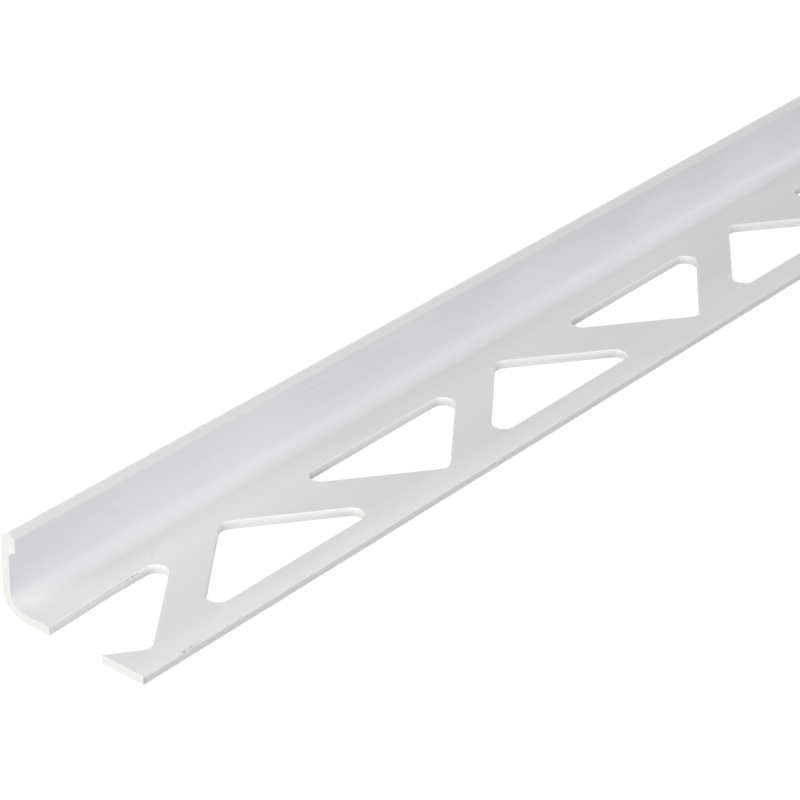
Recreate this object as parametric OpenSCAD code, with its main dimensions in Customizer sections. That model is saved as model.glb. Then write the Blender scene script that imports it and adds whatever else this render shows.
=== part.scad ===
// Tile edge trim: one strip of extruded white plastic for the edge of a tiled surface.
// A flat perforated leg is bedded in adhesive under the tiles. It turns through a round cove
// into a low wall that stands against the tile's edge and ends in a thickened lip.
// X runs along the strip, the leg's free edge is at -Y, the wall's outer face at +Y, and
// the underside of the leg lies on Z = 0.

/* [Strip] */
// Length of the strip, sawn square at both ends
strip_length = 1000; // [100:5:3000]
// Width over all, from the wall's outer face to the leg's free edge
leg_width = 22; // [20:0.5:35]
// Height over all, from the underside of the leg to the crest of the lip
overall_height = 11.2; // [9:0.1:20]
// Thickness of the leg and of the wall
sheet_thickness = 1.2; // [1:0.1:1.6]

/* [Cove and free edge] */
// Radius inside the round corner between leg and wall
cove_radius = 2.1; // [1.2:0.1:3]
// Radius on both arrises of the leg's free edge
free_edge_radius = 0.35; // [0.1:0.05:0.45]

/* [Lip] */
// How far the lip stands out from the wall's inner face
lip_projection = 1.1; // [0.7:0.1:1.5]
// Height of the lip, from its lower corner to the crest
lip_height = 2.5; // [2.3:0.1:4]
// Distance from the lip's inner face to its crest
crest_offset = 1; // [0.8:0.05:1.3]
// Slope that falls from the crest to the inner face, in degrees
inner_slope = 35; // [25:1:50]
// Slope that falls from the crest to the outer face, in degrees
outer_slope = 45; // [35:1:52]
// Radius of the shoulder between the inner slope and the inner face
inner_shoulder_radius = 0.25; // [0.15:0.05:0.4]
// Radius of the shoulder between the outer slope and the outer face
outer_shoulder_radius = 0.7; // [0.3:0.1:1.2]
// Radius that rounds the crest
crest_radius = 0.4; // [0.2:0.05:0.6]
// Drop of the lip's sloping underside from its corner to the wall
underside_drop = 0.55; // [0.2:0.05:0.7]
// Radius of the lip's lower corner
lip_corner_radius = 0.2; // [0.1:0.05:0.4]
// Radius of the fillet where the lip's underside meets the wall
lip_root_radius = 0.4; // [0.2:0.05:0.6]

/* [Punched holes] */
// Distance between holes that point the same way
punch_pitch = 52; // [48:0.5:70]
// Distance from a hole that points to the free edge to the next one, which points to the wall
punch_stagger = 24.4; // [22.5:0.1:26]
// Distance from the near end to the middle of the first hole
first_hole = 4.5; // [0:0.1:25]
// Length of a hole along the strip
hole_length = 26.2; // [16:0.2:27]
// Width of a hole across the leg
hole_width = 11.7; // [8:0.1:12.2]
// Radius of a hole's three corners
hole_corner_radius = 1.5; // [0.8:0.1:2]
// Solid margin between the holes and the leg's free edge
edge_margin = 3.5; // [2.5:0.1:4.5]

/* [Hidden] */
$fn = 40;
plastic_white = [0.92, 0.92, 0.91];
cut_clearance = 1;
wall_face = leg_width / 2;
free_edge = -leg_width / 2;
bend_radius = cove_radius + sheet_thickness;
bend_centre = [wall_face - bend_radius, bend_radius];
wall_inner = wall_face - sheet_thickness;
lip_thickness = sheet_thickness + lip_projection;
lip_inner = wall_face - lip_thickness;
lip_corner = [lip_inner, overall_height - lip_height];
lip_root = [wall_inner, lip_corner.y - underside_drop];
eased_corner = lip_corner + lip_corner_radius * [1, 1];
underside_slope = atan2(underside_drop, lip_projection - lip_corner_radius);
root_reach = lip_root_radius * tan(45 - underside_slope / 2);
root_on_wall = lip_root - [0, root_reach];
root_on_underside = lip_root + root_reach * [-cos(underside_slope), sin(underside_slope)];
root_centre = root_on_wall - [lip_root_radius, 0];
crest_centre = [lip_inner + crest_offset, overall_height - crest_radius];
ridge_base = eased_corner.y - crest_centre.y;
hole_tip_line = free_edge + edge_margin;
hole_reach = hole_length / 2 - hole_corner_radius;
hole_corners = [
    [-hole_reach, hole_corner_radius],
    [hole_reach, hole_corner_radius],
    [0, hole_width - hole_corner_radius]
];
pair_count = ceil((strip_length + hole_length) / punch_pitch);

// Unit vector to the right of the way from one point to the next
function rightward(from, to) = [to.y - from.y, from.x - to.x] / norm(to - from);

// Ends of the three straight sides, each tangent to two corner circles
function side_ends() = [
    for (i = [0:2])
        let (from = hole_corners[i], to = hole_corners[(i + 1) % 3])
        let (shift = hole_corner_radius * rightward(from, to))
        each [from + shift, to + shift]
];

// Plan of one hole: a triangle with rounded corners, its long side on the X axis, its tip at +Y
module hole_plan() {
    polygon(side_ends());
    for (corner = hole_corners)
        translate(corner)
            circle(r = hole_corner_radius);
}

// Section of the leg, with its free edge eased
module leg_section() {
    straight_end = free_edge + free_edge_radius;
    translate([straight_end, 0])
        square([bend_centre.x - straight_end, sheet_thickness]);
    translate([free_edge, free_edge_radius])
        square([free_edge_radius, sheet_thickness - 2 * free_edge_radius]);
    for (level = [free_edge_radius, sheet_thickness - free_edge_radius])
        translate([straight_end, level])
            circle(r = free_edge_radius);
}

// Section of the round corner, a quarter of a ring
module cove_section() {
    translate(bend_centre)
        intersection() {
            difference() {
                circle(r = bend_radius);
                circle(r = cove_radius);
            }
            translate([0, -bend_radius])
                square(bend_radius);
        }
}

// Section of the wall, from the cove to the root of the lip
module wall_section() {
    translate([wall_inner, bend_centre.y])
        square([sheet_thickness, root_on_wall.y - bend_centre.y]);
}

// Section of the lip's foot: filleted root, sloping underside and eased lower corner
module lip_foot_section() {
    difference() {
        polygon([
            root_on_wall,
            [wall_face, root_on_wall.y],
            [wall_face, eased_corner.y],
            [lip_inner, eased_corner.y],
            [eased_corner.x, lip_corner.y],
            root_on_underside
        ]);
        translate(root_centre)
            circle(r = lip_root_radius);
    }
    translate(eased_corner)
        circle(r = lip_corner_radius);
}

// One side of the lip's ridge, face, shoulder and slope, with the crest's centre at the origin
module ridge_side_section(reach, slope, shoulder_radius) {
    shoulder = [reach, crest_radius / cos(slope) - reach * tan(slope)];
    tangent_length = shoulder_radius * tan(45 - slope / 2);
    shoulder_foot = shoulder - [0, tangent_length];
    polygon([
        [0, ridge_base],
        [reach, ridge_base],
        shoulder_foot,
        shoulder + tangent_length * [-cos(slope), sin(slope)],
        crest_radius * [sin(slope), cos(slope)],
        [0, 0]
    ]);
    translate(shoulder_foot - [shoulder_radius, 0])
        circle(r = shoulder_radius);
}

// Section of the lip's ridge: an outer and an inner slope that meet in a rounded crest
module lip_ridge_section() {
    translate(crest_centre) {
        ridge_side_section(lip_thickness - crest_offset, outer_slope, outer_shoulder_radius);
        mirror([1, 0])
            ridge_side_section(crest_offset, inner_slope, inner_shoulder_radius);
        circle(r = crest_radius);
    }
}

// Whole section across the strip, in the plane of Y and Z
module trim_section() {
    leg_section();
    cove_section();
    wall_section();
    lip_foot_section();
    lip_ridge_section();
}

// Both rows of punched holes, pointing in turn to the free edge and to the wall
module punched_holes() {
    near_end = -strip_length / 2;
    for (pair = [0:pair_count]) {
        middle = near_end + first_hole + (pair - 1) * punch_pitch;
        translate([middle, hole_tip_line + hole_width])
            mirror([0, 1])
                hole_plan();
        translate([middle + punch_stagger, hole_tip_line])
            hole_plan();
    }
}

// The strip: the section drawn out along X, less the holes
module edge_trim() {
    color(plastic_white)
        difference() {
            translate([-strip_length / 2, 0, 0])
                rotate([90, 0, 90])
                    linear_extrude(height = strip_length)
                        trim_section();
            translate([0, 0, -cut_clearance])
                linear_extrude(height = sheet_thickness + 2 * cut_clearance)
                    punched_holes();
        }
}

edge_trim();
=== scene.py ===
"""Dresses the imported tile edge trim: an extruded strip with punched holes and sawn ends, on a pale stage."""

import math

import bmesh
import bpy
import numpy as np
from mathutils import Matrix, Vector


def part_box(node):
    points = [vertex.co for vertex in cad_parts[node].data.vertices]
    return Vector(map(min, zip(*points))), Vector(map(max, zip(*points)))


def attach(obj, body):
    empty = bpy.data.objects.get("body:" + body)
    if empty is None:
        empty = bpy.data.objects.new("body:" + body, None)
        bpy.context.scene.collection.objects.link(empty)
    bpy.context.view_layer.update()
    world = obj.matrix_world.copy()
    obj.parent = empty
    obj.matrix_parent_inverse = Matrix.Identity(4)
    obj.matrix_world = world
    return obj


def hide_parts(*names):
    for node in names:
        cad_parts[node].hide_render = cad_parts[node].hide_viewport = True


bl_info = {
    "name": "Tile edge trim",
    "version": (1, 0, 0),
    "blender": (4, 5, 0),
    "location": "3D View > Sidebar > Trim",
    "description": "Extruded white strip for tile edges, with punched holes and sawn ends",
    "category": "Object",
}

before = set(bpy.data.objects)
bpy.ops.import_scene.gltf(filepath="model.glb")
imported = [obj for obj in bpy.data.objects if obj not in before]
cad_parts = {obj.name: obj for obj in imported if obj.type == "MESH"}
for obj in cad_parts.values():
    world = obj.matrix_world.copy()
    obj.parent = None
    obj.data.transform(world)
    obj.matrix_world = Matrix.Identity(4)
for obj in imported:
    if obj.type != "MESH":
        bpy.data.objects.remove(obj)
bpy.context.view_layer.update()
NODE = "edge_trim"
BODY = "root"
MM = 0.001

# The strip lies along X with its underside on Z = 0
STRIP_LOW, STRIP_HIGH = ([float(v) for v in corner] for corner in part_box(NODE))
NEAR_END, FREE_EDGE = STRIP_LOW[:2]
FAR_END, WALL_FACE, CREST = STRIP_HIGH

# The photograph's width and the focal length of its camera, in pixels
PHOTO_PIXELS = 800
FOCAL_PIXELS = 3264


def linear(hex_value):
    """Linear colour of an sRGB hex value: below 0.04045 a straight line, above it a power of 2.4."""
    code = np.array([int(hex_value[i:i + 2], 16) for i in (1, 3, 5)]) / 255
    light = np.where(code <= 0.04045, code / 12.92, ((code + 0.055) / 1.055) ** 2.4)
    return (*(float(v) for v in light), 1.0)


def size(name, description, default_mm):
    """One length of the strip as a property, given in millimetres and kept in metres."""
    return bpy.props.FloatProperty(
        name=name, description=description, default=default_mm * MM, min=0.0, unit="LENGTH", precision=5
    )


def angle(name, description, default_degrees, most_degrees=80):
    """One slope of the section as a property, given in degrees and kept in radians."""
    return bpy.props.FloatProperty(
        name=name, description=description, default=math.radians(default_degrees), min=0.0,
        max=math.radians(most_degrees), subtype="ANGLE",
    )


def colour(name, description, default_hex):
    """One colour as a property, given as an sRGB hex value and kept linear."""
    return bpy.props.FloatVectorProperty(
        name=name, description=description, default=linear(default_hex), size=4, min=0.0, max=1.0,
        subtype="COLOR",
    )


class TrimSizes(bpy.types.PropertyGroup):
    """Sizes of the strip's section and of its punched holes."""

    sheet: size("Sheet", "Thickness of the leg and of the wall", 1.2)
    cove: size("Cove radius", "Radius inside the round corner between leg and wall", 2.1)
    free_edge: size("Free edge radius", "Radius on both arrises of the leg's free edge", 0.35)
    lip_out: size("Lip projection", "How far the lip stands out from the wall's inner face", 1.1)
    lip_high: size("Lip height", "From the lip's lower corner to the crest", 2.5)
    crest_in: size("Crest offset", "From the lip's inner face to its crest", 1.0)
    inner_slope: angle("Inner slope", "Slope that falls from the crest to the inner face", 35)
    outer_slope: angle("Outer slope", "Slope that falls from the crest to the outer face", 45)
    inner_shoulder: size("Inner shoulder radius", "Between the inner slope and the inner face", 0.25)
    outer_shoulder: size("Outer shoulder radius", "Between the outer slope and the outer face", 0.7)
    crest: size("Crest radius", "Radius that rounds the crest", 0.4)
    underside: size("Underside drop", "Drop of the lip's underside from its corner to the wall", 0.55)
    lip_corner: size("Lip corner radius", "Radius of the lip's lower corner", 0.2)
    lip_root: size("Lip root radius", "Fillet where the lip's underside meets the wall", 0.4)
    pitch: size("Punch pitch", "Distance between holes that point the same way", 52.0)
    stagger: size("Punch stagger", "From a hole that points to the free edge to the next one", 24.4)
    first: size("First hole", "From the near end to the middle of the first hole", 4.5)
    hole_long: size("Hole length", "Length of a hole along the strip", 26.2)
    hole_wide: size("Hole width", "Width of a hole across the leg", 11.7)
    hole_corner: size("Hole corner radius", "Radius of a hole's three corners", 1.5)
    margin: size("Edge margin", "Solid margin between the holes and the free edge", 3.5)
    rollover: size("Punch roll-over", "Edge drawn down where the punch went in", 0.12)
    drag: size("Saw drag", "How far the saw pushed the leg's near end into the first hole", 0.5)
    drag_long: size("Saw drag length", "Distance from the near end over which the drag fades", 10.0)
    breakout: size("Punch break-out", "Widening at the foot of a hole, where the slug broke out", 0.03)


class TrimColours(bpy.types.PropertyGroup):
    """Colours of the plastic, of its cut faces and of the marks on it, and the colours of painted shade."""

    skin: colour("Skin", "Drawn surface of the strip", "#EFEFEE")
    skin_dull: colour("Dull skin", "Slightly duller patches of the drawn surface", "#E9E9E8")
    # Painted shade: this colour darkens the lip's top and the free edge where they stand in shade; it is not a
    # colour of the plastic
    painted_shade: colour("Painted shade", "Lip's top and free edge, dulled by handling", "#E6E5E3")
    sawn: colour("Sawn", "Face left by the saw", "#FAF9F5")
    # Painted shade: the darker colour laid in the hollows between the saw's tooth marks
    sawn_hollow_shade: colour("Sawn low", "Hollows between the saw's tooth marks", "#F3F2ED")
    punched: colour("Punched", "Sheared wall of a hole, whitened by the strain", "#FDFCFA")
    punched_low: colour("Punched low", "Duller streaks of the sheared wall", "#F4F3F0")
    dirt: colour("Dirt", "Handling dirt on the free edge", "#8A8272")
    # Also the colour of the painted shadow line along the top of the first hole's wall-side wall
    speck_and_shadow: colour("Speck", "Dark speck on the skin", "#5C5A58")


def on_strip(along_mm, across_mm, up_mm):
    """A point by its distance from the near end, from the wall's outer face and from the underside, in mm."""
    return (
        NEAR_END + along_mm * MM,
        WALL_FACE - across_mm * MM,
        up_mm * MM,
    )


# Shapes

# Steps along the section's arcs, from the largest to the smallest
BEND_STEPS, CREST_STEPS, ROUND_STEPS, SMALL_STEPS, ROLLOVER_STEPS = 18, 10, 8, 6, 4

# Steps round a hole: half a base corner, the base, a side, and the outer and middle parts of the tip
ARC_HALF, BASE_RUN, SIDE_RUN, TIP_SIDE, TIP_MIDDLE = 7, 4, 3, 3, 4
SLANT_RUN = ARC_HALF + SIDE_RUN + TIP_SIDE
RING_RUNS = (2 * ARC_HALF + BASE_RUN, SLANT_RUN, TIP_MIDDLE, SLANT_RUN)

# Leg that the cells keep beside the rows of holes
BORDER = 1.6 * MM

# Spare pairs of cells before the near end and past the far end
PAIRS_BEFORE, PAIRS_PAST = 1, 2

# Distance from a bend at which an extra point holds a flat, and the shortest run that counts as flat
SECTION_GRIP, HOLE_GRIP = 0.04 * MM, 0.03 * MM
LONG_RUN = 10 * SECTION_GRIP

# Tolerances in metres, digits of a rounded place, and the angle from which an edge is shaded sharp
SAME_PLACE, SAME_DIGITS = 1e-9, 9
WELD, CUT, ON_CUT = 1e-6, 1e-8, 1e-7
SHARP_FROM = math.radians(40)

# Places of the three finishes in the strip's list of materials
DRAWN, SAWN, PUNCHED = range(3)


def arc(centre, radius, start, stop, steps):
    """Points on a circle from one angle to another, in equal steps; angles in degrees."""
    turn = np.radians(np.linspace(start, stop, steps + 1))
    return np.array(centre) + radius * np.stack([np.cos(turn), np.sin(turn)], 1)


def held_flat(points):
    """Adds a point a short grip inside both ends of every long straight run.

    The run's normals then stay square to it right up to the rounds beside it, whose own steps are shorter.
    """
    starts, stops = points[:-1], points[1:]
    length = np.linalg.norm(stops - starts, axis=1, keepdims=True)
    inset = SECTION_GRIP * (stops - starts) / length
    flat = length[:, 0] >= LONG_RUN
    laid = np.stack([starts, starts + inset, stops - inset], 1)
    kept = np.stack([np.ones_like(flat), flat, flat], 1)
    return np.concatenate([laid[kept], points[-1:]])


def wall_profile(sizes, leg_start):
    """Section of cove, wall and lip, from the leg's underside round the outside to the leg's top.

    Straight runs joined by arcs: the bend, the outer shoulder, the crest, the inner shoulder, the lip's
    lower corner, the fillet at its root and the cove. Each slope touches the crest's circle, and its
    shoulder's circle touches the slope and the face below it.
    """
    wall_inner = WALL_FACE - sizes.sheet
    lip_inner = wall_inner - sizes.lip_out
    lip_low = CREST - sizes.lip_high
    bend_radius = sizes.cove + sizes.sheet
    bend = [WALL_FACE - bend_radius, bend_radius]
    crest = [lip_inner + sizes.crest_in, CREST - sizes.crest]

    def shoulder_level(reach, slope, radius):
        """Height of a shoulder's centre: where slope and face would meet, less the tangent's length."""
        meet = crest[1] + sizes.crest / math.cos(slope) - reach * math.tan(slope)
        return meet - radius * math.tan(math.pi / 4 - slope / 2)

    outer_level = shoulder_level(WALL_FACE - crest[0], sizes.outer_slope, sizes.outer_shoulder)
    inner_level = shoulder_level(sizes.crest_in, sizes.inner_slope, sizes.inner_shoulder)
    outer_shoulder = [WALL_FACE - sizes.outer_shoulder, outer_level]
    inner_shoulder = [lip_inner + sizes.inner_shoulder, inner_level]
    outer_lean = 90 - math.degrees(sizes.outer_slope)
    inner_lean = 90 + math.degrees(sizes.inner_slope)
    lip_corner = [lip_inner + sizes.lip_corner, lip_low + sizes.lip_corner]
    underside_slope = math.atan2(sizes.underside, sizes.lip_out - sizes.lip_corner)
    root_reach = sizes.lip_root * math.tan(math.pi / 4 - underside_slope / 2)
    root = [wall_inner - sizes.lip_root, lip_low - sizes.underside - root_reach]
    return np.concatenate([
        [[leg_start, 0.0]],
        arc(bend, bend_radius, -90, 0, BEND_STEPS),
        arc(outer_shoulder, sizes.outer_shoulder, 0, outer_lean, ROUND_STEPS),
        arc(crest, sizes.crest, outer_lean, inner_lean, CREST_STEPS),
        arc(inner_shoulder, sizes.inner_shoulder, inner_lean, 180, SMALL_STEPS),
        arc(lip_corner, sizes.lip_corner, 180, 270, SMALL_STEPS),
        arc(root, sizes.lip_root, 90 - math.degrees(underside_slope), 0, SMALL_STEPS),
        arc(bend, sizes.cove, 0, -90, BEND_STEPS),
        [[leg_start, sizes.sheet]],
    ])


def free_edge_profile(sizes, leg_end):
    """Section of the leg's free edge, from its top round two eased arrises to its underside."""
    radius = sizes.free_edge
    return np.concatenate([
        [[leg_end, sizes.sheet]],
        arc([FREE_EDGE + radius, sizes.sheet - radius], radius, 90, 180, ROUND_STEPS),
        arc([FREE_EDGE + radius, radius], radius, 180, 270, ROUND_STEPS),
        [[leg_end, 0.0]],
    ])


def drawn_out(profile, stations):
    """Grid of a section carried straight along X: one row of the section for each station."""
    grid = np.empty((len(stations), len(profile), 3))
    grid[:, :, 0] = stations[:, None]
    grid[:, :, 1:] = profile[None]
    return grid


def hole_track(sizes):
    """Centre and outward direction for each point of a hole's outline, once round from a base corner.

    A rounded triangle is the path of a circle's rim: the centre rests at a corner while the angle turns,
    and moves to the next corner while the angle rests. The base lies on v = 0 and the tip points to +v.
    """
    reach = sizes.hole_long / 2 - sizes.hole_corner
    deep = sizes.hole_wide - 2 * sizes.hole_corner
    left = np.array([-reach, sizes.hole_corner])
    right = np.array([reach, sizes.hole_corner])
    tip = np.array([0.0, sizes.hole_corner + deep])
    lean = math.degrees(math.atan2(reach, deep))
    half = (90 + lean) / 2

    # Outward angles of the three straight sides, in degrees
    base, right_side, left_side = 270, 360 + lean, 540 - lean
    tip_part = (left_side - right_side) * TIP_SIDE / (2 * TIP_SIDE + TIP_MIDDLE)
    runs = (
        (left, left, base - half, base, ARC_HALF),
        (left, right, base, base, BASE_RUN),
        (right, right, base, base + half, ARC_HALF),
        (right, right, base + half, right_side, ARC_HALF),
        (right, tip, right_side, right_side, SIDE_RUN),
        (tip, tip, right_side, right_side + tip_part, TIP_SIDE),
        (tip, tip, right_side + tip_part, left_side - tip_part, TIP_MIDDLE),
        (tip, tip, left_side - tip_part, left_side, TIP_SIDE),
        (tip, left, left_side, left_side, SIDE_RUN),
        (left, left, left_side, base + 360 - half, ARC_HALF),
    )
    centres, turns = [], []
    for start, stop, turn_from, turn_to, steps in runs:
        share = np.arange(steps) / steps
        centres.append(start + share[:, None] * (stop - start))
        turns.append(turn_from + share * (turn_to - turn_from))
    turn = np.radians(np.concatenate(turns))
    return np.concatenate(centres), np.stack([np.cos(turn), np.sin(turn)], 1)


def cell_outline(sizes, left_apart, right_apart):
    """Outline of the piece of leg around one hole: a trapezium cut along the middles of the two webs.

    Each web's middle line runs parallel to the hole's side, half way to the next hole.
    """
    lean = (sizes.hole_long / 2 - sizes.hole_corner) / (sizes.hole_wide - 2 * sizes.hole_corner)
    spread = (sizes.hole_wide / 2 + BORDER) * lean
    low, high = -BORDER, sizes.hole_wide + BORDER
    corners = np.array([
        [-left_apart / 2 - spread, low],
        [right_apart / 2 + spread, low],
        [right_apart / 2 - spread, high],
        [-left_apart / 2 + spread, high],
    ])
    nexts = np.roll(corners, -1, axis=0)
    return np.concatenate([
        start + np.arange(steps)[:, None] / steps * (stop - start)
        for start, stop, steps in zip(corners, nexts, RING_RUNS)
    ])


def hole_stations(sizes):
    """How far the hole is widened and at what height, from the underside up through the hole to the top.

    The slug breaks out of the lower third with a slope; the punch draws the upper edge down in a quarter
    round. A tenth of the slope's width is gone a grip above the underside, and a quarter of a grip is left
    at its top.
    """
    slope_top = 0.35 * sizes.sheet
    slope_foot_width = 0.9 * sizes.breakout
    slope_top_width = 0.25 * HOLE_GRIP
    round_centre = [sizes.rollover, sizes.sheet - sizes.rollover]
    return np.concatenate([
        [
            [sizes.breakout + HOLE_GRIP, 0.0],
            [sizes.breakout, 0.0],
            [slope_foot_width, HOLE_GRIP],
            [slope_top_width, slope_top],
            [0.0, slope_top + HOLE_GRIP],
        ],
        arc(round_centre, sizes.rollover, 180, 90, ROLLOVER_STEPS),
        [[sizes.rollover + HOLE_GRIP, sizes.sheet]],
    ])


def push_in(sizes, rings):
    """Pushes the wall side of the first hole inwards, most at the sawn end and fading evenly along X."""
    wall_side = rings[:, :, 1] > FREE_EDGE + sizes.margin + sizes.hole_wide - sizes.hole_corner
    fade = np.clip(1 - (rings[:, :, 0] - NEAR_END) / sizes.drag_long, 0, 1)
    rings[:, :, 1] -= np.where(wall_side, sizes.drag * fade, 0)


def hole_cells(sizes):
    """Grids of the leg around every hole: rings from the cell's outline under the leg, up the hole, and out.

    Holes come in pairs, one that points to the free edge and one that points to the wall. Cells that lie
    past an end are sawn off later.
    """
    centre, outward = hole_track(sizes)
    stations = hole_stations(sizes)
    rings = centre[None] + (sizes.hole_corner + stations[:, 0])[:, None, None] * outward[None]
    height = np.concatenate([[0.0], stations[:, 1], [sizes.sheet]])
    holes_low = FREE_EDGE + sizes.margin
    holes_high = holes_low + sizes.hole_wide
    rest = sizes.pitch - sizes.stagger
    pair = (
        (0.0, -1.0, holes_high, cell_outline(sizes, rest, sizes.stagger)),
        (sizes.stagger, 1.0, holes_low, cell_outline(sizes, sizes.stagger, rest)),
    )
    pairs = math.ceil((FAR_END - NEAR_END) / sizes.pitch) + PAIRS_PAST
    grids = []
    for number in range(-PAIRS_BEFORE, pairs):
        middle = NEAR_END + sizes.first + number * sizes.pitch
        for shift, flip, base_line, outline in pair:
            plan = np.concatenate([outline[None], rings, outline[None]])
            grid = np.empty((*plan.shape[:2], 3))
            grid[:, :, 0] = middle + shift + plan[:, :, 0]
            grid[:, :, 1] = base_line + flip * plan[:, :, 1]
            grid[:, :, 2] = height[:, None]
            grids.append(grid)
    first_hole = grids[PAIRS_BEFORE * len(pair)]
    push_in(sizes, first_hole[1:-1])
    return grids


def strip_grids(sizes):
    """Grids of wall, free edge and cells, each with a flag that says whether its columns close in a ring.

    Wall and free edge take their stations along X from the cells' outlines, so that their points meet.
    """
    cells_low = FREE_EDGE + sizes.margin - BORDER
    cells_high = cells_low + sizes.hole_wide + 2 * BORDER
    cells = hole_cells(sizes)
    rim = np.concatenate([cell[0] for cell in cells])

    def stations(line):
        """Each X at which the cells' outlines have a point on a line along the strip."""
        on_line = np.abs(rim[:, 1] - line) < SAME_PLACE
        return np.unique(np.round(rim[on_line, 0], SAME_DIGITS))

    wall = drawn_out(held_flat(wall_profile(sizes, cells_high)), stations(cells_high))
    edge = drawn_out(held_flat(free_edge_profile(sizes, cells_low)), stations(cells_low))
    return [(wall, False), (edge, False)] + [(cell, True) for cell in cells]


def grid_faces(rows, columns, closed):
    """Corner numbers of a grid's quads, row by row; a closed grid joins its last column to its first."""
    quads_wide = columns if closed else columns - 1
    row, column = np.meshgrid(np.arange(rows - 1), np.arange(quads_wide), indexing="ij")
    this_row = row * columns
    next_row = this_row + columns
    beside = (column + 1) % columns
    quads = np.stack([this_row + column, this_row + beside, next_row + beside, next_row + column], -1)
    return quads.reshape(-1, 4)


def joined(grids):
    """Points and quads of several (grid, closed) pairs, joined, and the flag of each quad's grid."""
    points, quads, in_ring = [], [], []
    start = 0
    for grid, closed in grids:
        rows, columns = grid.shape[:2]
        faces = grid_faces(rows, columns, closed)
        points.append(grid.reshape(-1, 3))
        quads.append(faces + start)
        in_ring.append(np.full(len(faces), closed))
        start += rows * columns
    return np.concatenate(points), np.concatenate(quads), np.concatenate(in_ring)


def saw_off(shape, end, way):
    """Cuts the strip square at one end, drops what lies beyond it and closes the cut with a sawn face."""
    parts = shape.verts[:] + shape.edges[:] + shape.faces[:]
    bmesh.ops.bisect_plane(
        shape, geom=parts, dist=CUT, plane_co=(end, 0, 0), plane_no=(way, 0, 0), clear_outer=True
    )
    rims = [
        edge for edge in shape.edges
        if edge.is_boundary and all(abs(corner.co.x - end) < ON_CUT for corner in edge.verts)
    ]
    for face in bmesh.ops.holes_fill(shape, edges=rims, sides=0)["faces"]:
        face.material_index = SAWN


def strip_mesh(sizes):
    """The whole strip: its grids are welded, and both ends are cut square at its length and closed."""
    points, quads, in_ring = joined(strip_grids(sizes))
    mesh = bpy.data.meshes.new("trim_strip")
    mesh.from_pydata(points, [], quads.tolist())
    height = points[quads, 2]
    upright = height.max(1) - height.min(1) > SAME_PLACE
    under_top = height.max(1) < sizes.sheet - SAME_PLACE
    finish = np.where(in_ring & upright & under_top, PUNCHED, DRAWN)
    mesh.polygons.foreach_set("material_index", finish.astype(np.int32))
    shape = bmesh.new()
    shape.from_mesh(mesh)
    bmesh.ops.remove_doubles(shape, verts=shape.verts, dist=WELD)
    saw_off(shape, NEAR_END, -1)
    saw_off(shape, FAR_END, 1)
    bmesh.ops.recalc_face_normals(shape, faces=shape.faces)
    open_edges = sum(not edge.is_manifold for edge in shape.edges)
    if open_edges:
        raise RuntimeError(f"the strip has {open_edges} open edges")
    shape.to_mesh(mesh)
    shape.free()
    mesh.shade_smooth()
    mesh.set_sharp_from_angle(angle=SHARP_FROM)
    return mesh


# Materials

# Typical index of refraction of rigid PVC
PVC_IOR = 1.53

# The stage's white
WHITE = linear("#FFFFFF")


def put(tree, kind, inputs=None, **settings):
    """Adds one node, sets its settings, and gives each input a value or a link from another node's output."""
    made = tree.nodes.new(kind)
    for name, value in settings.items():
        setattr(made, name, value)
    for key, value in (inputs or {}).items():
        if isinstance(value, bpy.types.NodeSocket):
            tree.links.new(value, made.inputs[key])
        else:
            made.inputs[key].default_value = value
    return made


def per_mm(*repeats):
    """Scale that gives a pattern its repeats along X, Y and Z, in millimetres."""
    return tuple(1 / (repeat * MM) for repeat in repeats)


def blank_material(name):
    """A new material with only an output node, and that node."""
    made = bpy.data.materials.new(name)
    made.use_nodes = True
    made.node_tree.nodes.clear()
    return made, made.node_tree, put(made.node_tree, "ShaderNodeOutputMaterial")


def marked(tree, place, base, marks):
    """Base colour with small marks laid over it; each is a soft ellipsoid round a point of the strip.

    A mark is (point, half sizes in mm, colour, strength). It fades from about half way out to its rim, and
    noise a third of a mark wide frays it.
    """
    full, gone = 1.0, 1.5
    for point, half, shade, strength in marks:
        away = put(tree, "ShaderNodeVectorMath", {0: place, 1: point}, operation="SUBTRACT")
        scaled = put(
            tree, "ShaderNodeVectorMath", {0: away.outputs[0], 1: per_mm(*half)}, operation="MULTIPLY"
        )
        fray = put(tree, "ShaderNodeTexNoise", {"Vector": scaled.outputs[0], "Scale": 1.7, "Detail": 3.0})
        reach = put(tree, "ShaderNodeVectorMath", {0: scaled.outputs[0]}, operation="LENGTH")
        edge = put(
            tree, "ShaderNodeMath", {0: reach.outputs["Value"], 1: fray.outputs["Fac"]}, operation="ADD"
        )
        cover = put(
            tree, "ShaderNodeMapRange",
            {"Value": edge.outputs[0], "From Min": gone, "From Max": full, "To Min": 0.0, "To Max": strength},
        )
        laid = put(
            tree, "ShaderNodeMix",
            {"Factor": cover.outputs["Result"], "A": base, "B": tuple(shade)}, data_type="RGBA",
        )
        base = laid.outputs["Result"]
    return base


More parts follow.
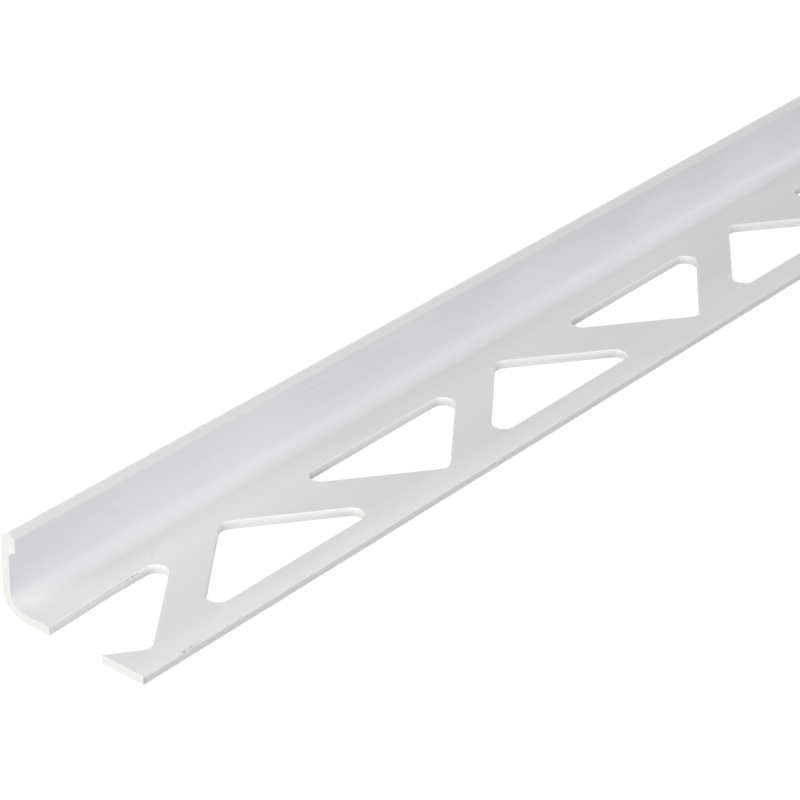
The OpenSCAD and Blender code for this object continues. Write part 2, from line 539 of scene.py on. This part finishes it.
def drawn_pvc(colours):
    """Rigid white PVC drawn through a die and cooled against a polished sleeve.

    The sleeve leaves a satin skin with faint lines along the strip, and slow cooling leaves patches a few
    centimetres long that are a touch duller. The top of the lip and the free edge are darkened with painted
    shade. Die lines are about 0.3 mm apart on the real strip and are drawn at 0.8 mm so that they show.
    """
    # Die lines and patches in mm, where the painted shade on the lip's top and free edge starts and is full,
    # and the skin's range of roughness
    die_long, die_apart, die_deep = 180, 0.8, 0.006
    patch_long, patch_wide = 40, 8
    lip_shade_from, lip_shade_full = CREST - 0.75 * MM, CREST - 0.55 * MM
    edge_shade_from, edge_shade_full = FREE_EDGE + 0.12 * MM, FREE_EDGE + 0.04 * MM
    satin, duller = 0.36, 0.46

    made, tree, out = blank_material("drawn_white_pvc")
    place = put(tree, "ShaderNodeTexCoord").outputs["Object"]
    die = put(tree, "ShaderNodeMapping", {"Vector": place, "Scale": per_mm(die_long, die_apart, die_apart)})
    lines = put(tree, "ShaderNodeTexNoise", {"Vector": die.outputs[0], "Scale": 1.0, "Detail": 2.0})
    patch = put(
        tree, "ShaderNodeMapping", {"Vector": place, "Scale": per_mm(patch_long, patch_wide, patch_wide)}
    )
    dull = put(tree, "ShaderNodeTexNoise", {"Vector": patch.outputs[0], "Scale": 1.0, "Detail": 3.0})
    spread = put(
        tree, "ShaderNodeMapRange",
        {"Value": dull.outputs["Fac"], "From Min": 0.35, "From Max": 0.65, "To Min": 0.0, "To Max": 1.0},
    )
    base = put(
        tree, "ShaderNodeMix",
        {"Factor": spread.outputs["Result"], "A": tuple(colours.skin), "B": tuple(colours.skin_dull)},
        data_type="RGBA",
    )
    where = put(tree, "ShaderNodeSeparateXYZ", {0: place})
    # Painted shade: the lip's top and the free edge are darkened towards the painted shade colour
    lip_top = put(
        tree, "ShaderNodeMapRange",
        {"Value": where.outputs["Z"], "From Min": lip_shade_from, "From Max": lip_shade_full},
    )
    free_edge = put(
        tree, "ShaderNodeMapRange",
        {"Value": where.outputs["Y"], "From Min": edge_shade_from, "From Max": edge_shade_full},
    )
    painted_shade_mask = put(
        tree, "ShaderNodeMath",
        {0: lip_top.outputs["Result"], 1: free_edge.outputs["Result"]}, operation="MAXIMUM",
    )
    with_painted_shade = put(
        tree, "ShaderNodeMix",
        {"Factor": painted_shade_mask.outputs[0], "A": base.outputs["Result"], "B": tuple(colours.painted_shade)},
        data_type="RGBA",
    )
    leg_specks = (
        (on_strip(18.48, 5.41, 1.2), (0.14, 0.11, 0.3), colours.speck_and_shadow, 0.6),
        (on_strip(36.46, 3.39, 1.2), (0.13, 0.11, 0.3), colours.speck_and_shadow, 0.5),
    )
    edge_dirt = (
        (on_strip(7.6, 21.75, 1.15), (2.2, 0.35, 0.3), colours.dirt, 0.16),
        (on_strip(6.5, 21.85, 1.1), (0.35, 0.15, 0.2), colours.dirt, 0.42),
        (on_strip(7.7, 21.8, 1.15), (0.25, 0.15, 0.2), colours.dirt, 0.36),
        (on_strip(0.1, 21.95, 0.5), (0.25, 0.2, 0.7), colours.dirt, 0.4),
    )
    wall_smudge = (on_strip(16.8, 1.2, 6.25), (1.0, 0.5, 0.5), colours.dirt, 0.05)
    skin = marked(tree, place, with_painted_shade.outputs["Result"], (*leg_specks, *edge_dirt, wall_smudge))
    rough = put(
        tree, "ShaderNodeMapRange",
        {"Value": dull.outputs["Fac"], "From Min": 0.3, "From Max": 0.7, "To Min": satin, "To Max": duller},
    )
    relief = put(
        tree, "ShaderNodeBump",
        {"Height": lines.outputs["Fac"], "Strength": 1.0, "Distance": die_deep * MM},
    )
    shader = put(
        tree, "ShaderNodeBsdfPrincipled",
        {
            "Base Color": skin, "Roughness": rough.outputs["Result"],
            "Normal": relief.outputs[0], "IOR": PVC_IOR,
        },
    )
    tree.links.new(shader.outputs[0], out.inputs["Surface"])
    return made


def sawn_pvc(colours):
    """The same PVC where a fine saw went through it: matt, a little creamier than the skin, with tooth marks.

    The teeth leave strokes about 0.25 mm apart that lean across the section, and their hollows get a slightly
    darker colour as painted shade.
    """
    # Tooth marks in mm, their lean and the sawn face's roughness
    stroke_long, stroke_apart, stroke_deep = 4, 0.25, 0.02
    stroke_lean = math.radians(62)
    matt = 0.6

    made, tree, out = blank_material("sawn_white_pvc")
    place = put(tree, "ShaderNodeTexCoord").outputs["Object"]
    lean = put(
        tree, "ShaderNodeMapping",
        {"Vector": place, "Rotation": (stroke_lean, 0, 0), "Scale": per_mm(1, stroke_apart, stroke_long)},
    )
    teeth = put(tree, "ShaderNodeTexNoise", {"Vector": lean.outputs[0], "Scale": 1.0, "Detail": 3.0})
    # Painted shade: where the tooth marks dip, the colour turns to the darker hollow shade
    base = put(
        tree, "ShaderNodeMix",
        {"Factor": teeth.outputs["Fac"], "A": tuple(colours.sawn_hollow_shade), "B": tuple(colours.sawn)},
        data_type="RGBA",
    )
    dark_point = (on_strip(0.0, 5.0, 0.7), (0.2, 0.1, 0.1), colours.speck_and_shadow, 0.45)
    corner_dirt = (on_strip(0.0, 21.92, 0.5), (0.3, 0.16, 0.8), colours.dirt, 0.4)
    face = marked(tree, place, base.outputs["Result"], (dark_point, corner_dirt))
    relief = put(
        tree, "ShaderNodeBump",
        {"Height": teeth.outputs["Fac"], "Strength": 1.0, "Distance": stroke_deep * MM},
    )
    shader = put(
        tree, "ShaderNodeBsdfPrincipled",
        {"Base Color": face, "Roughness": matt, "Normal": relief.outputs[0], "IOR": PVC_IOR},
    )
    tree.links.new(shader.outputs[0], out.inputs["Surface"])
    return made


def punched_pvc(colours):
    """The same PVC sheared by a punch: strain whitens it, and burnished streaks run up the wall of each hole.

    The streaks follow the punch's travel along Z and are about 0.3 mm apart round the hole. A dark line
    painted along the top of the first hole's wall-side wall is painted shadow, where a burr's shadow falls.
    """
    # Streaks in mm and the sheared wall's roughness
    streak_long, streak_apart, streak_deep = 3, 0.3, 0.01
    sheared = 0.5

    made, tree, out = blank_material("punched_white_pvc")
    place = put(tree, "ShaderNodeTexCoord").outputs["Object"]
    travel = put(
        tree, "ShaderNodeMapping", {"Vector": place, "Scale": per_mm(streak_apart, streak_apart, streak_long)}
    )
    streaks = put(tree, "ShaderNodeTexNoise", {"Vector": travel.outputs[0], "Scale": 1.0, "Detail": 3.0})
    base = put(
        tree, "ShaderNodeMix",
        {"Factor": streaks.outputs["Fac"], "A": tuple(colours.punched_low), "B": tuple(colours.punched)},
        data_type="RGBA",
    )
    # Painted shadow: a dark line along the top of the first hole's wall-side wall, where a burr's shadow falls
    painted_burr_shadow = (
        (on_strip(11.4, 6.8, 1.0), (4.0, 0.3, 0.1), colours.speck_and_shadow, 0.22),
        (on_strip(12.9, 6.8, 1.02), (0.45, 0.3, 0.1), colours.speck_and_shadow, 0.5),
        (on_strip(13.8, 6.8, 1.03), (0.35, 0.3, 0.1), colours.speck_and_shadow, 0.6),
        (on_strip(14.5, 6.8, 1.03), (0.3, 0.3, 0.1), colours.speck_and_shadow, 0.6),
    )
    wall = marked(tree, place, base.outputs["Result"], painted_burr_shadow)
    relief = put(
        tree, "ShaderNodeBump",
        {"Height": streaks.outputs["Fac"], "Strength": 1.0, "Distance": streak_deep * MM},
    )
    shader = put(
        tree, "ShaderNodeBsdfPrincipled",
        {"Base Color": wall, "Roughness": sheared, "Normal": relief.outputs[0], "IOR": PVC_IOR},
    )
    tree.links.new(shader.outputs[0], out.inputs["Surface"])
    return made


def shown_rays(tree):
    """Output that is 1 for rays that show the stage's white: camera, glossy and transmitted ones."""
    ray = put(tree, "ShaderNodeLightPath")
    shown = ray.outputs["Is Camera Ray"]
    for other in ("Is Glossy Ray", "Is Transmission Ray"):
        shown = put(tree, "ShaderNodeMath", {0: shown, 1: ray.outputs[other]}, operation="MAXIMUM").outputs[0]
    return shown


def pale_floor(albedo, glow, lit):
    """A matt white floor that shows white to the camera and still takes the strip's shadow.

    Camera, glossy and transmitted rays see a steady glow plus a share of the lit floor, so a shadow darkens
    it only a little. All other rays meet a plain matt floor.
    """
    made, tree, out = blank_material("pale_floor")
    matt = put(tree, "ShaderNodeBsdfDiffuse", {"Color": (albedo, albedo, albedo, 1.0)})
    share = put(tree, "ShaderNodeBsdfDiffuse", {"Color": (lit, lit, lit, 1.0)})
    steady = put(tree, "ShaderNodeEmission", {"Color": WHITE, "Strength": glow})
    shown = put(tree, "ShaderNodeAddShader", {0: share.outputs[0], 1: steady.outputs[0]})
    mixed = put(tree, "ShaderNodeMixShader", {0: shown_rays(tree), 1: matt.outputs[0], 2: shown.outputs[0]})
    tree.links.new(mixed.outputs[0], out.inputs["Surface"])
    return made


# Pieces and stage


def place_piece(mesh, name, materials):
    """Puts a finished mesh into the scene with its materials, riding on the strip's body."""
    piece = bpy.data.objects.new(name, mesh)
    bpy.context.scene.collection.objects.link(piece)
    for material in materials:
        mesh.materials.append(material)
    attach(piece, BODY)
    return piece


def lay_floor():
    """A wide floor a hair below the strip's underside."""
    half = 8.0
    level = -0.02 * MM
    corners = [(-half, -half, level), (half, -half, level), (half, half, level), (-half, half, level)]
    mesh = bpy.data.meshes.new("floor")
    mesh.from_pydata(corners, [], [(0, 1, 2, 3)])
    mesh.materials.append(pale_floor(albedo=0.36, glow=0.82, lit=0.34))
    floor = bpy.data.objects.new("floor", mesh)
    bpy.context.scene.collection.objects.link(floor)


def hang_world(tint, strength):
    """Dim even light from all round, and plain white for the rays that show the stage."""
    world = bpy.data.worlds.new("studio")
    world.use_nodes = True
    tree = world.node_tree
    tree.nodes.clear()
    dim = put(tree, "ShaderNodeBackground", {"Color": linear(tint), "Strength": strength})
    white = put(tree, "ShaderNodeBackground", {"Color": WHITE, "Strength": 1.0})
    mixed = put(tree, "ShaderNodeMixShader", {0: shown_rays(tree), 1: dim.outputs[0], 2: white.outputs[0]})
    put(tree, "ShaderNodeOutputWorld", {"Surface": mixed.outputs[0]})
    bpy.context.scene.world = world


def soft_lamp(name, along, away, area, watts, tint="#FFFFFF"):
    """A soft rectangular lamp aimed at the X axis; along is the aim's X, away leads from there to the lamp.

    Lengths are in metres.
    """
    lamp = bpy.data.lights.new(name, "AREA")
    lamp.shape = "RECTANGLE"
    lamp.size, lamp.size_y = area
    lamp.energy = watts
    lamp.color = linear(tint)[:3]
    made = bpy.data.objects.new(name, lamp)
    made.location = Vector((along, 0, 0)) + Vector(away)
    made.rotation_mode = "QUATERNION"
    made.rotation_quaternion = (-Vector(away)).to_track_quat("-Z", "Y")
    bpy.context.scene.collection.objects.link(made)


def hang_lamps():
    """Three lamps round the near part, which the photograph shows, and three that light the rest evenly."""
    near_part = NEAR_END + 60 * MM
    soft_lamp("high_left", near_part, away=(-0.4, 0.0, 0.3), area=(0.3, 0.3), watts=1.16, tint="#FFFBF0")
    soft_lamp("low_left", near_part, away=(-0.6, -0.02, 0.16), area=(0.4, 0.2), watts=0.6, tint="#F2F4FF")
    soft_lamp("front", near_part, away=(-0.2, -0.5, 0.12), area=(0.4, 0.2), watts=1.0, tint="#F3F4FF")
    soft_lamp("far_top", along=0.3, away=(0.0, 0.0, 0.5), area=(0.8, 0.3), watts=0.64)
    soft_lamp("far_front", along=0.25, away=(0.0, -0.6, 0.25), area=(0.8, 0.3), watts=0.95)
    soft_lamp("rear", along=0.0, away=(0.0, 0.7, 0.25), area=(1.2, 0.3), watts=4.0)


def set_camera(place, heading, dip, roll):
    """The photograph's camera; heading turns from +X to +Y, dip looks down and roll tilts, in degrees."""
    camera = bpy.data.cameras.new("camera")
    camera.sensor_width = 36.0
    camera.lens = FOCAL_PIXELS / PHOTO_PIXELS * camera.sensor_width
    camera.clip_start, camera.clip_end = 0.01, 100.0
    made = bpy.data.objects.new("camera", camera)
    made.matrix_world = (
        Matrix.Translation(place)
        @ Matrix.Rotation(math.radians(heading - 90), 4, "Z")
        @ Matrix.Rotation(math.radians(90 - dip), 4, "X")
        @ Matrix.Rotation(math.radians(roll), 4, "Z")
    )
    bpy.context.scene.collection.objects.link(made)
    bpy.context.scene.camera = made


class TRIM_OT_strip(bpy.types.Operator):
    """Builds the strip with its punched holes and sawn ends, in place of the plain solid."""

    bl_idname = "trim.strip"
    bl_label = "Strip"

    def execute(self, context):
        sizes, colours = context.scene.trim_sizes, context.scene.trim_colours
        finishes = (drawn_pvc(colours), sawn_pvc(colours), punched_pvc(colours))
        strip = place_piece(strip_mesh(sizes), "trim_strip", finishes)
        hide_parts(NODE)
        return {"FINISHED"}


class TRIM_OT_stage(bpy.types.Operator):
    """Lays a pale floor, sets soft lamps and puts the camera at the photograph's angle."""

    bl_idname = "trim.stage"
    bl_label = "Stage"

    def execute(self, context):
        context.scene.view_settings.view_transform = "Standard"
        lay_floor()
        hang_world(tint="#F6F8FF", strength=0.365)
        hang_lamps()
        set_camera(on_strip(-209.199, 230.887, 204.923), heading=39.6299, dip=29.768, roll=0.9455)
        return {"FINISHED"}


class TRIM_PT_panel(bpy.types.Panel):
    """Lists the strip's sizes, its colours and the steps that build it."""

    bl_label = "Tile edge trim"
    bl_idname = "TRIM_PT_panel"
    bl_space_type = "VIEW_3D"
    bl_region_type = "UI"
    bl_category = "Trim"

    def draw(self, context):
        for group in (context.scene.trim_sizes, context.scene.trim_colours):
            for name in group.bl_rna.properties.keys():
                if name not in ("rna_type", "name"):
                    self.layout.prop(group, name)
        for step in STEPS:
            self.layout.operator(step.bl_idname)


STEPS = (TRIM_OT_strip, TRIM_OT_stage)
CLASSES = (TrimSizes, TrimColours, *STEPS, TRIM_PT_panel)


def register():
    """Registers the classes and hangs the sizes and colours on the scene."""
    for cls in CLASSES:
        bpy.utils.register_class(cls)
    bpy.types.Scene.trim_sizes = bpy.props.PointerProperty(type=TrimSizes)
    bpy.types.Scene.trim_colours = bpy.props.PointerProperty(type=TrimColours)


def unregister():
    """Takes the sizes, the colours and the classes away again."""
    del bpy.types.Scene.trim_colours
    del bpy.types.Scene.trim_sizes
    for cls in reversed(CLASSES):
        bpy.utils.unregister_class(cls)


def main():
    register()
    bpy.ops.trim.strip()
    bpy.ops.trim.stage()


if __name__ == "__main__":
    main()
